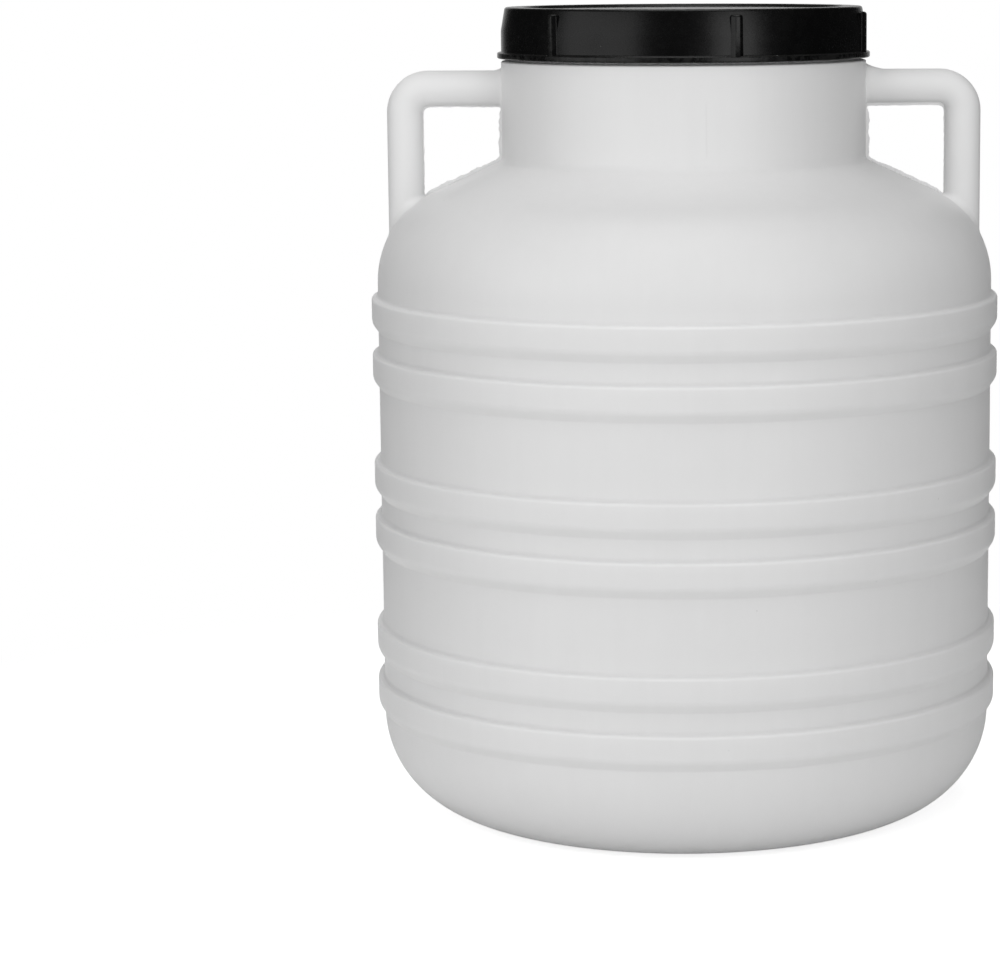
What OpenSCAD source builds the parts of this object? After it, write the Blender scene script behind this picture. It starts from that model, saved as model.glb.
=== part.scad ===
// Wide-neck fermentation barrel: a blow-moulded shell with two hollow loop handles,
// a screw lid with grip ribs, and the sealing gasket inside the lid.
// Millimetres. +Z is up and the origin is the centre of the foot, on the ground.

/* [Barrel shell] */
// Diameter over the hoop bands
band_d = 340; // [320:1:380]
// Thickness of the moulded wall
wall = 3; // [2:0.1:4]
// Radius between the foot and the wall
foot_corner_r = 54; // [40:1:60]
// Width of the flat ring that the barrel stands on
foot_ring_w = 26; // [15:1:35]
// How far the middle of the base is pushed up
base_rise = 7; // [4:0.5:12]
// Plain wall between the top band and the start of the shoulder
shoulder_gap = 6.9; // [3:0.1:20]
// Radius between the wall and the shoulder
shoulder_r = 55; // [40:1:60]
// Slope of the shoulder above the horizontal, in degrees
shoulder_slope = 24.5; // [18:0.5:30]

/* [Hoop bands] */
// Pairs of bands
pair_count = 3; // [2:1:4]
// Plain wall between the foot's corner and the lowest band
first_band_gap = 3.6; // [3:0.1:20]
// Step from one pair of bands to the next
pair_pitch = 89.1; // [80:0.1:110]
// Step between the two bands of a pair
band_pitch = 30.2; // [26:0.1:36]
// Height of a band
band_h = 17.7; // [14:0.1:20]
// How far a band stands out from the wall
band_proud = 3.4; // [2:0.1:5]
// Height of a band's sloping lower edge
band_under = 2.6; // [1.5:0.1:4]
// Height of a band's sloping upper edge
band_over = 1.2; // [1:0.1:4]
// Rounding of a band's outer edges
band_edge_r = 1.8; // [0.5:0.1:2]

/* [Neck] */
// Diameter of the neck
neck_d = 196.8; // [180:0.2:210]
// Length of the neck from the shoulder to its upper edge
neck_h = 48.3; // [42:0.1:70]
// Radius between the shoulder and the neck
neck_fillet = 7; // [3:0.5:10]
// Width of the ledge between the neck and the threaded finish
ledge_w = 5.6; // [5:0.1:8]
// Rise of the ledge from the neck's edge to the finish
ledge_rise = 3.6; // [2:0.1:5]
// Height of the finish, from the ledge to the rim
finish_h = 25; // [22:0.5:35]

/* [Handles] */
// Thickness of the round handle
handle_t = 19; // [16:0.5:22]
// Thickness of the handle's moulded wall
handle_wall = 2.8; // [2:0.1:4]
// How far the handle's outer face lies inside the barrel wall
handle_inset = 6.3; // [4:0.1:12]
// How far the top of the handle lies below the neck's upper edge
handle_drop = 2; // [2:0.1:10]
// Radius of the handle's bend at its centre line
handle_bend_r = 12.8; // [11.5:0.1:18]
// Widening of the handle where it grows out of the neck
root_flare = 2; // [0.5:0.1:2]
// Length of that widening
root_flare_l = 5; // [3:0.5:8]

/* [Lid] */
// Radial room for the thread, between the finish and the lid's skirt
thread_room = 3.2; // [2.5:0.1:5]
// Thickness of the lid's skirt
lid_wall = 2.3; // [1.8:0.1:3]
// Thickness of the lid's top
lid_top_t = 2.5; // [2:0.1:4]
// Gap between the lid's lower edge and the top of the ledge
lid_gap = 1; // [0.5:0.1:3]
// Height of the leaning upper part of the skirt
lid_taper_h = 12.5; // [8:0.5:14]
// How far the skirt leans in at its top
lid_taper = 2.2; // [1:0.1:2.4]
// Rounding of the lid's top edge
lid_edge_r = 3.4; // [1:0.1:4]
// Height of the flange round the lid's lower edge
flange_h = 3.2; // [2:0.1:5]
// How far the flange stands out from the skirt
flange_proud = 2.1; // [1:0.1:3]
// Depth of the sunk panel in the lid's top
panel_depth = 1.6; // [0.8:0.1:2]
// Width of the raised rim round that panel
panel_rim_w = 9; // [6:0.5:20]

/* [Grip ribs] */
// Ribs round the lid
rib_count = 6; // [4:1:12]
// Width of a rib
rib_w = 5.4; // [4:0.1:8]
// How far a rib stands out from the skirt
rib_proud = 1.9; // [1:0.1:2]
// Distance from the lid's top to the top of a rib
rib_top_gap = 5; // [4:0.5:10]
// Angle of the first rib from the +X axis, in degrees
rib_phase = -13.8; // [-30:0.1:30]

/* [Gasket] */
// Thickness of the gasket
gasket_t = 3; // [2:0.1:4]
// Radial clearance of the gasket inside the lid
gasket_clearance = 0.4; // [0.3:0.1:0.8]
// Radial clearance between the lid's plug ring and the neck's bore
plug_clearance = 2.4; // [1.5:0.1:4]
// Thickness of the plug ring that holds the gasket
plug_t = 2.2; // [1.6:0.1:3]
// Depth of the plug ring below the lid's top
plug_depth = 7; // [5:0.5:10]

/* [Hidden] */
$fn = 96;
// Steps of a large and of a small rounding, in degrees, and the radius that parts them
large_arc_step = 6;
small_arc_step = 24;
large_arc_r = 6;
// How far a cut runs past the face that it opens
cut_over = 2;

// Barrel shell
band_r = band_d / 2;
wall_r = band_r - band_proud;
foot_ring_r = wall_r - foot_corner_r - foot_ring_w;
base_run = 2.6 * base_rise;
base_edge_r = 6;
first_band_z = foot_corner_r + first_band_gap;
last_band_top_z = first_band_z + (pair_count - 1) * pair_pitch + band_pitch + band_h;
shoulder_start_z = last_band_top_z + shoulder_gap;
shoulder_z = shoulder_start_z + shoulder_r * tan((90 - shoulder_slope) / 2);
// Roundings at the root of a band outside, and of its soft groove inside
band_root_r = 1.2;
groove_slope = 6;
groove_r = 2.5;

// Neck and finish
neck_r = neck_d / 2;
neck_z = shoulder_z + (wall_r - neck_r) * tan(shoulder_slope);
ledge_z = neck_z + neck_h;
ledge_edge_r = 2.6;
finish_r = neck_r - ledge_w;
finish_z = ledge_z + ledge_rise;
finish_root_r = 1.2;
rim_z = finish_z + finish_h;
rim_edge_r = 0.8;
bore_r = finish_r - wall;
least_inner_r = 0.6;

// Handles
handle_r = handle_t / 2;
handle_reach = wall_r - handle_inset;
leg_x = handle_reach - handle_r;
arm_z = ledge_z - handle_drop - handle_r;
arm_start_x = neck_r - wall - cut_over;
bend_x = leg_x - handle_bend_r;
bend_z = arm_z - handle_bend_r;

// Lid
skirt_inner_r = finish_r + thread_room;
skirt_r = skirt_inner_r + lid_wall;
skirt_low_z = finish_z + lid_gap;
lid_under_z = rim_z + gasket_t;
lid_top_z = lid_under_z + lid_top_t;
taper_z = lid_top_z - lid_taper_h;
skirt_lean = lid_taper / lid_taper_h;
skirt_inner_top_r = skirt_inner_r - skirt_lean * (lid_under_z - taper_z);
panel_r = skirt_r - lid_taper - panel_rim_w;
flange_top_z = skirt_low_z + flange_h;
plug_r = bore_r - plug_clearance;
lid_small_r = 0.8;
rib_h = lid_top_z - rib_top_gap - flange_top_z;

// Gasket
gasket_inner_r = plug_r + gasket_clearance;
gasket_outer_r = skirt_inner_top_r - gasket_clearance;

// A profile is a list of [radius, height, rounding] corners.

function unit(v) = v / norm(v);
function spot(corner) = [corner[0], corner[1]];
function left_of(v) = [-v[1], v[0]];
function turn_side(a, b) = a[0] * b[1] - a[1] * b[0];

// Corner i of a profile, moved by d to the left of the way that the profile runs
function inset_corner(path, i, d) =
    let (
        along = unit(spot(path[i]) - spot(path[i - 1])),
        next = unit(spot(path[i + 1]) - spot(path[i])),
        n1 = left_of(along),
        n2 = left_of(next),
        moved = spot(path[i]) + d * (n1 + n2) / (1 + n1 * n2),
        side = sign(turn_side(along, next))
    )
    [moved[0], moved[1], max(path[i][2] - side * d, least_inner_r)];

// Points of the arc that rounds corner b, between its neighbours a and c
function corner_arc(a, b, c, r) =
    let (
        u = unit(a - b),
        v = unit(c - b),
        half = acos(u * v) / 2,
        centre = b + unit(u + v) * r / sin(half),
        first = b + u * r / tan(half) - centre,
        last = b + v * r / tan(half) - centre,
        turn = (180 - 2 * half) * sign(turn_side(first, last)),
        steps = ceil(abs(turn) / (r > large_arc_r ? large_arc_step : small_arc_step))
    )
    [for (k = [0 : steps])
        let (t = turn * k / steps)
        centre + [first[0] * cos(t) - first[1] * sin(t), first[0] * sin(t) + first[1] * cos(t)]];

// All the points of a closed profile, with its corners rounded
function rounded(path) =
    [for (i = [0 : len(path) - 1])
        let (
            before = spot(path[(i + len(path) - 1) % len(path)]),
            after = spot(path[(i + 1) % len(path)])
        )
        each path[i][2] > 0 ? corner_arc(before, spot(path[i]), after, path[i][2]) : [spot(path[i])]];

// The shell's outer skin from the middle of the base to the rim, without the bands
shell_path = [
    [0, base_rise, 0],
    [foot_ring_r - base_run, base_rise, base_edge_r],
    [foot_ring_r, 0, base_edge_r],
    [wall_r, 0, foot_corner_r],
    [wall_r, shoulder_z, shoulder_r],
    [neck_r, neck_z, neck_fillet],
    [neck_r, ledge_z, ledge_edge_r],
    [finish_r, finish_z, finish_root_r],
    [finish_r, rim_z, rim_edge_r]
];
foot_corner_i = 3;
last_inner_i = len(shell_path) - 2;

// The corners of every band, with its foot on a wall of radius r
function band_corners(r, under, over, edge_r, root_r) =
    [for (pair = [0 : pair_count - 1], one = [0, 1])
        let (z = first_band_z + pair * pair_pitch + one * band_pitch)
        each [
            [r, z, root_r],
            [r + band_proud, z + under, edge_r],
            [r + band_proud, z + band_h - over, edge_r],
            [r, z + band_h, root_r]
        ]];

outer_profile = concat(
    [for (i = [0 : foot_corner_i]) shell_path[i]],
    band_corners(wall_r, band_under, band_over, band_edge_r, band_root_r),
    [for (i = [foot_corner_i + 1 : last_inner_i + 1]) shell_path[i]],
    [[0, rim_z, 0]]
);

cavity_profile = concat(
    [[0, base_rise + wall, 0]],
    [for (i = [1 : foot_corner_i]) inset_corner(shell_path, i, wall)],
    band_corners(wall_r - wall, groove_slope, groove_slope, groove_r, groove_r),
    [for (i = [foot_corner_i + 1 : last_inner_i]) inset_corner(shell_path, i, wall)],
    [[bore_r, rim_z + cut_over, 0], [0, rim_z + cut_over, 0]]
);

lid_profile = [
    [0, lid_top_z - panel_depth, 0],
    [panel_r - panel_depth, lid_top_z - panel_depth, lid_small_r],
    [panel_r, lid_top_z, lid_small_r],
    [skirt_r - lid_taper, lid_top_z, lid_edge_r],
    [skirt_r, taper_z, large_arc_r],
    [skirt_r, flange_top_z, lid_small_r],
    [skirt_r + flange_proud, flange_top_z, lid_small_r],
    [skirt_r + flange_proud, skirt_low_z, lid_small_r],
    [skirt_inner_r, skirt_low_z, lid_small_r],
    [skirt_inner_r, taper_z, large_arc_r],
    [skirt_inner_top_r, lid_under_z, 0],
    [plug_r, lid_under_z, 0],
    [plug_r, lid_under_z - plug_depth, lid_small_r],
    [plug_r - plug_t, lid_under_z - plug_depth, lid_small_r],
    [plug_r - plug_t, lid_under_z - panel_depth, lid_small_r],
    [0, lid_under_z - panel_depth, 0]
];

// One loop of the handles, of radius r, from inside the neck round to inside the shoulder
module handle_loop(r) {
    translate([arm_start_x, 0, arm_z])
        rotate([0, 90, 0])
            cylinder(r = r, h = bend_x - arm_start_x);
    translate([bend_x, 0, bend_z])
        rotate([90, 0, 0])
            rotate_extrude(angle = 90)
                translate([handle_bend_r, 0])
                    circle(r = r);
    translate([leg_x, 0, shoulder_start_z])
        cylinder(r = r, h = bend_z - shoulder_start_z);
}

// The cone by which a handle widens into the neck
module handle_root() {
    root_l = neck_r + root_flare_l - arm_start_x;
    translate([arm_start_x, 0, arm_z])
        rotate([0, 90, 0])
            cylinder(r1 = handle_r + root_flare * root_l / root_flare_l, r2 = handle_r, h = root_l);
}

module both_sides() {
    for (turn = [0, 180])
        rotate([0, 0, turn])
            children();
}

// The barrel, its neck and its handles are one hollow moulding
module barrel_body() {
    color("gainsboro")
        difference() {
            union() {
                rotate_extrude() polygon(rounded(outer_profile));
                both_sides() {
                    handle_loop(handle_r);
                    handle_root();
                }
            }
            rotate_extrude() polygon(rounded(cavity_profile));
            both_sides() handle_loop(handle_r - handle_wall);
        }
}

// A round-topped rib on the lid's skirt, at the +X side
module grip_rib() {
    rib_r = rib_w / 2;
    rib_x = skirt_r + rib_proud - rib_r;
    difference() {
        union() {
            translate([rib_x, 0, flange_top_z - flange_h / 2])
                cylinder(r = rib_r, h = rib_h - rib_r + flange_h / 2);
            translate([rib_x, 0, flange_top_z + rib_h - rib_r])
                sphere(r = rib_r);
        }
        translate([0, 0, skirt_low_z])
            cylinder(r = skirt_r - lid_wall / 2, h = lid_top_z);
    }
}

module screw_lid() {
    color([0.07, 0.07, 0.075]) {
        rotate_extrude() polygon(rounded(lid_profile));
        for (i = [0 : rib_count - 1])
            rotate([0, 0, rib_phase + i * 360 / rib_count])
                grip_rib();
    }
}

module lid_gasket() {
    color("ivory")
        translate([0, 0, rim_z])
            difference() {
                cylinder(r = gasket_outer_r, h = gasket_t);
                translate([0, 0, -cut_over])
                    cylinder(r = gasket_inner_r, h = gasket_t + 2 * cut_over);
            }
}

barrel_body();
screw_lid();
lid_gasket();
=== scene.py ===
"""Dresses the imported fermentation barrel, its moulded shell, screw lid and gasket, on a plain floor."""

import math

import bmesh
import bpy
import numpy as np
from mathutils import Matrix, Vector


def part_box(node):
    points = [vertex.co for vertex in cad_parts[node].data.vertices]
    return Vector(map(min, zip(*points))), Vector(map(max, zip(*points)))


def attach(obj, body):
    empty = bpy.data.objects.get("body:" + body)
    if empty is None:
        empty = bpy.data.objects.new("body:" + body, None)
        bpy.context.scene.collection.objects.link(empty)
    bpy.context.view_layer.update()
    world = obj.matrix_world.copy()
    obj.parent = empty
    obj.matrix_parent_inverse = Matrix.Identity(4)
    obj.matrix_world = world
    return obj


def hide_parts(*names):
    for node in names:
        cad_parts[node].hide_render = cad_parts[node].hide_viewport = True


bl_info = {
    "name": "Fermentation Barrel",
    "version": (1, 0, 0),
    "blender": (4, 5, 0),
    "location": "3D View > Sidebar > Barrel",
    "description": "Builds a blow-moulded barrel with its screw lid and gasket, and a plain studio",
    "category": "Add Mesh",
}

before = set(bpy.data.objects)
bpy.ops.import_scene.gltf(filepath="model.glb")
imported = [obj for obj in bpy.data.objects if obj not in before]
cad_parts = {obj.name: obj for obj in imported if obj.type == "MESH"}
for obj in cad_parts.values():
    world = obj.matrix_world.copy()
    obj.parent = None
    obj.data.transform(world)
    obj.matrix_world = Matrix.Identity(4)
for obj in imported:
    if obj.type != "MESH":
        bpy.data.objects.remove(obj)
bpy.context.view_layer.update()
BODY_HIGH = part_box("barrel_body")[1]
LID_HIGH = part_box("screw_lid")[1]
SEAL_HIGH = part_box("lid_gasket")[1]
MM = 0.001
TURN = 2 * math.pi
WELD = 0.002 * MM  # Points nearer than this are merged
CREASE = 40.0  # Edges sharper than this, in degrees, aren't smoothed

# Properties


def length(name, millimetres, description):
    """A size, given in millimetres and kept in metres."""
    return bpy.props.FloatProperty(
        name=name,
        description=description,
        default=millimetres * MM,
        min=0.0,
        precision=4,
        subtype="DISTANCE",
        unit="LENGTH",
    )


def angle(name, degrees, description):
    """An angle, given in degrees and kept in radians."""
    return bpy.props.FloatProperty(
        name=name, description=description, default=math.radians(degrees), subtype="ANGLE", unit="ROTATION"
    )


def count(name, number, description):
    """A whole number of like features."""
    return bpy.props.IntProperty(name=name, description=description, default=number, min=1)


def share(name, value, description):
    """A plain number, such as a strength or a roughness."""
    return bpy.props.FloatProperty(name=name, description=description, default=value, min=0.0, precision=3)


def colour(name, rgb, description):
    """A colour in linear light."""
    return bpy.props.FloatVectorProperty(
        name=name, description=description, default=rgb, size=3, min=0.0, max=1.0, subtype="COLOR"
    )


class BarrelShellSizes(bpy.types.PropertyGroup):
    """Sizes of the moulded shell."""

    band_r: length("Band radius", BODY_HIGH.x / MM, "Radius over the hoop bands")
    rim_z: length("Rim height", 432.2, "Height of the rim above the ground")
    wall: length("Wall", 3.0, "Thickness of the moulded wall")
    foot_corner_r: length("Foot corner", 54.9, "Radius between the foot and the wall")
    foot_ring_w: length("Foot ring", 26.0, "Width of the flat ring that the barrel stands on")
    base_rise: length("Base rise", 7.0, "How far the middle of the base is pushed up")
    shoulder_gap: length("Shoulder gap", 6.9, "Plain wall between the top band and the shoulder")
    shoulder_r: length("Shoulder radius", 52.4, "Radius between the wall and the shoulder")
    shoulder_slope: angle("Shoulder slope", 24.5, "Slope of the shoulder above the horizontal")
    pair_count: count("Band pairs", 3, "Pairs of hoop bands")
    first_band_gap: length("First band gap", 1.0, "Plain wall between the foot's corner and the lowest band")
    pair_pitch: length("Pair pitch", 89.1, "Step from one pair of bands to the next")
    band_pitch: length("Band pitch", 30.2, "Step between the two bands of a pair")
    band_h: length("Band height", 19.4, "Height of a band")
    band_proud: length("Band proud", 3.4, "How far a band stands out from the wall")
    band_under: length("Band lower slope", 5.0, "Height of a band's sloping lower edge")
    band_over: length("Band upper slope", 1.2, "Height of a band's sloping upper edge")
    band_edge_r: length("Band upper edge", 1.8, "Rounding of a band's upper edge")
    band_low_r: length("Band lower edge", 7.0, "Rounding of a band's lower edge")
    band_root_r: length("Band root", 2.0, "Rounding between a band and the wall")
    neck_r: length("Neck radius", 98.4, "Radius of the neck")
    neck_h: length("Neck length", 53.2, "Length of the neck from the shoulder to its upper edge")
    neck_fillet: length("Neck fillet", 4.5, "Radius between the shoulder and the neck")
    ledge_w: length("Ledge width", 5.6, "Width of the ledge between the neck and the threaded finish")
    ledge_rise: length("Ledge rise", 0.9, "Rise of that ledge")
    seam_h: length("Parting line", 0.28, "Height of the parting line on the wall and the shoulder")
    seam_w: length("Parting line width", 0.75, "Half width of the parting line")
    sway: length("Sway", 0.3, "How far the blown wall wanders inwards")


class BarrelHandleSizes(bpy.types.PropertyGroup):
    """Sizes of the two hollow handles."""

    radius: length("Radius", 9.5, "Radius of the round handle")
    wall: length("Wall", 2.8, "Thickness of the handle's moulded wall")
    inset: length("Inset", 6.3, "How far the handle's outer face lies inside the barrel wall")
    drop: length("Drop", 5.2, "How far the handle's top lies below the neck's upper edge")
    bend_r: length("Bend radius", 12.8, "Radius of the bend at its centre line")
    right_rise: length("Right root rise", 3.3, "How far the right handle's upper root climbs the neck")
    right_run: length("Right root run", 9.5, "How far along the right handle its upper root starts")
    right_trim: length("Right arm trim", 1.2, "How much the right arm is flattened below")
    left_rise: length("Left root rise", 1.6, "How far the left handle's upper root climbs the neck")
    left_run: length("Left root run", 4.0, "How far along the left handle its upper root starts")
    left_trim: length("Left arm trim", 0.5, "How much the left arm is flattened below")
    root_ramp: share("Root ramp", 0.6, "Slope of an upper root, from hollow at 0 to a plain ramp at 1")
    side_blend: length("Neck blend", 1.2, "Radius between the handle's sides and the neck")
    eye_blend: length("Eye blend", 2.2, "Radius at the eye's corners")
    front_blend: length("Shoulder blend", 6.0, "Radius between the leg's sides and the shoulder")
    outer_blend: length("Outer blend", 2.0, "Radius between the leg's outer face and the shoulder")
    seam_h: length("Parting line", 0.22, "Height of the parting line along the handle")
    flash_h: length("Trimmed flash", 1.6, "Mean height of the trimmed flash inside the eyes")
    flash_t: length("Flash thickness", 0.7, "Thickness of that flash")


class BarrelThreadSizes(bpy.types.PropertyGroup):
    """Sizes of the thread on the neck and in the lid."""

    lead: length("Lead", 10.0, "Rise of the thread in one turn")
    root_w: length("Root width", 4.2, "Width of the thread at its root")
    crest_w: length("Crest width", 2.0, "Width of the thread at its crest")
    neck_h: length("Neck thread height", 2.4, "How far the neck's thread stands out")
    neck_start: length("Neck thread start", 4.0, "Start of the neck's thread above the ledge")
    neck_turns: share("Neck thread turns", 1.5, "Turns of the neck's thread")
    lid_h: length("Lid thread height", 2.5, "How far the lid's thread stands in")
    lid_below: length("Lid thread offset", 3.2, "How far the lid's thread lies below the neck's")
    lid_first: share("Lid thread first turn", 0.36, "Where the lid's thread starts, in turns")
    lid_turns: share("Lid thread turns", 1.1, "Turns of the lid's thread")


class BarrelLidSizes(bpy.types.PropertyGroup):
    """Sizes of the screw lid."""

    top_z: length("Top", 437.4, "Height of the lid's top above the ground")
    low_z: length("Lower edge", 410.2, "Height of the lid's lower edge above the ground")
    flange_r: length("Flange radius", max(LID_HIGH.xy) / MM, "Radius over the flange")
    flange_h: length("Flange height", 3.2, "Height of the flange")
    flange_proud: length("Flange proud", 2.1, "How far the flange stands out from the skirt")
    wall: length("Wall", 2.3, "Thickness of the skirt")
    taper_h: length("Taper height", 12.5, "Height of the leaning upper part of the skirt")
    taper: length("Taper", 2.2, "How far the skirt leans in at its top")
    edge_r: length("Top edge", 1.5, "Rounding of the lid's top edge")
    panel_depth: length("Panel depth", 1.6, "Depth of the sunk panel in the lid's top")
    panel_rim_w: length("Panel rim", 9.0, "Width of the raised rim round that panel")
    plug_r: length("Plug radius", 87.4, "Radius of the plug ring that holds the gasket")
    plug_t: length("Plug thickness", 2.2, "Thickness of the plug ring")
    plug_depth: length("Plug depth", 7.0, "Depth of the plug ring below the lid's top")
    rib_count: count("Ribs", 6, "Grip ribs round the lid")
    rib_root_w: length("Rib root width", 6.6, "Width of a grip rib where it leaves the skirt")
    rib_face_w: length("Rib face width", 2.4, "Width of a grip rib's front")
    rib_proud: length("Rib proud", 1.9, "How far a rib stands out from the skirt")
    rib_top_gap: length("Rib top gap", 2.8, "Distance from the lid's top to the top of a rib")
    rib_edge: length("Rib top edge", 1.5, "Rounding of a rib's top")
    rib_phase: angle("Rib phase", -13.8, "Angle of the first rib from the +X axis")
    gate_r: length("Gate mark", 4.5, "Radius of the moulding gate's mark in the middle of the lid")


class BarrelGasketSizes(bpy.types.PropertyGroup):
    """Sizes of the sealing gasket."""

    outer_r: length("Outer radius", max(SEAL_HIGH.xy) / MM, "Outer radius of the gasket")
    inner_r: length("Inner radius", 87.8, "Inner radius of the gasket")
    low_z: length("Lower face", 432.2, "Height of the gasket's lower face")
    high_z: length("Upper face", 435.2, "Height of the gasket's upper face")
    bead_h: length("Bead height", 0.5, "Height of the sealing beads on its faces")


class BarrelFinishes(bpy.types.PropertyGroup):
    """Colours and gloss of the finishes."""

    barrel: colour("Barrel plastic", (0.80, 0.80, 0.80), "Natural white polyethylene")
    barrel_roughness: share("Barrel roughness", 0.5, "Roughness of the barrel's satin surface")
    lid: colour("Lid plastic", (0.002, 0.002, 0.0021), "Black moulded plastic")
    lid_roughness: share("Lid roughness", 0.27, "Roughness of the lid's satin surface")
    dust: colour("Dust", (0.16, 0.16, 0.155), "Dust and scuffs on the lid")
    gasket: colour("Gasket rubber", (0.72, 0.70, 0.64), "Pale food-grade rubber")


class BarrelStudio(bpy.types.PropertyGroup):
    """Camera, light and floor."""

    eye: bpy.props.FloatVectorProperty(
        name="Eye",
        description="Where the camera stands",
        default=(0.0, -1.8070, 0.4663),
        size=3,
        subtype="XYZ",
        unit="LENGTH",
    )
    pitch: angle("Pitch", 9.053, "Tilt of the camera below the horizontal")
    roll: angle("Roll", -0.241, "Turn of the camera about its own line of sight")
    lens: bpy.props.FloatProperty(
        name="Lens", description="Focal length", default=119.66, min=1.0, unit="CAMERA"
    )
    shift: bpy.props.FloatProperty(
        name="Shift", description="Sideways shift of the frame, as a share of its width", default=-0.1853
    )
    floor: colour("Floor", (0.84, 0.84, 0.84), "Pale floor")
    floor_r: length("Floor radius", 620.0, "Radius of the round floor under the barrel")
    sky: share("Sky light", 0.05, "Strength of the even light from behind and the sides")
    fill: share("Fill light", 0.76, "Strength of the soft light from the camera's side")
    front: share("Front", 0.02, "Brightness of the studio behind the camera, as gloss shows it")
    lift: share("Floor lift", 0.75, "Share of the floor's white that needs no lamp")
    left_lamp: share("Left lamp", 6.2, "Power of the left softbox in watts")
    side_lamp: share("Side lamp", 6.0, "Power of the softbox further to the left in watts")
    right_lamp: share("Right lamp", 9.1, "Power of the right softbox in watts")
    top_lamp: share("Top lamp", 12.4, "Power of the softbox above the barrel in watts")
    back_lamp: share("Back lamp", 8.0, "Power of the softbox behind the left shoulder in watts")


# Node trees


class Nodes:
    """Fills one node tree: each call adds a node and returns its first output."""

    def __init__(self, tree):
        self.tree = tree

    def node(self, kind, *values, **settings):
        node = self.tree.nodes.new(kind)
        for name, value in settings.items():
            setattr(node, name, value)
        for socket, value in zip([s for s in node.inputs if s.enabled], values):
            self.put(value, socket)
        return node

    def __call__(self, kind, *values, **settings):
        node = self.node(kind, *values, **settings)
        return next(s for s in node.outputs if s.enabled)

    def put(self, value, socket):
        if isinstance(value, bpy.types.NodeSocket):
            self.tree.links.new(value, socket)
        elif value is not None:
            socket.default_value = value

    def math(self, operation, *values):
        return self("ShaderNodeMath", *values, operation=operation)

    def times(self, first, *others):
        """The product of the values."""
        for value in others:
            first = self.math("MULTIPLY", first, value)
        return first

    def bell(self, value):
        """1 where value is 0, falling off smoothly to both sides."""
        return self.math("EXPONENT", self.times(value, value, -1.0))

    def whole(self, operation, *values):
        return self("FunctionNodeIntegerMath", *values, operation=operation)

    def vector(self, operation, *values):
        return self("ShaderNodeVectorMath", *values, operation=operation)

    def ramp(self, value, low, high, to_low=0.0, to_high=1.0):
        """value taken from low..high to to_low..to_high, smoothly and held at the ends."""
        return self("ShaderNodeMapRange", value, low, high, to_low, to_high, interpolation_type="SMOOTHSTEP")

    def noise(self, place, size, detail=2.0, roughness=0.5):
        """Soft noise with features of about the given size in metres."""
        node = self.node("ShaderNodeTexNoise")
        self.put(place, node.inputs["Vector"])
        node.inputs["Scale"].default_value = 1.0 / size
        node.inputs["Detail"].default_value = detail
        node.inputs["Roughness"].default_value = roughness
        return node.outputs[0]


def shape_tree(name, inputs):
    """A new geometry tree with a shape input, named inputs, and the finish that it ends in."""
    tree = bpy.data.node_groups.new(name, "GeometryNodeTree")
    tree.interface.new_socket("Shape", in_out="INPUT", socket_type="NodeSocketGeometry")
    for title, kind in inputs:
        tree.interface.new_socket(title, in_out="INPUT", socket_type=f"NodeSocket{kind}")
    tree.interface.new_socket("Finish", in_out="INPUT", socket_type="NodeSocketMaterial")
    tree.interface.new_socket("Shape", in_out="OUTPUT", socket_type="NodeSocketGeometry")
    return Nodes(tree), tree.nodes.new("NodeGroupInput").outputs


def end_tree(nodes, shape, given):
    """Closes a geometry tree: real, smooth faces in the given finish."""
    real = nodes("GeometryNodeRealizeInstances", shape)
    smooth = nodes("GeometryNodeSetShadeSmooth", real)
    done = nodes("GeometryNodeSetMaterial", smooth, None, given["Finish"])
    nodes.node("NodeGroupOutput", done)


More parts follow.
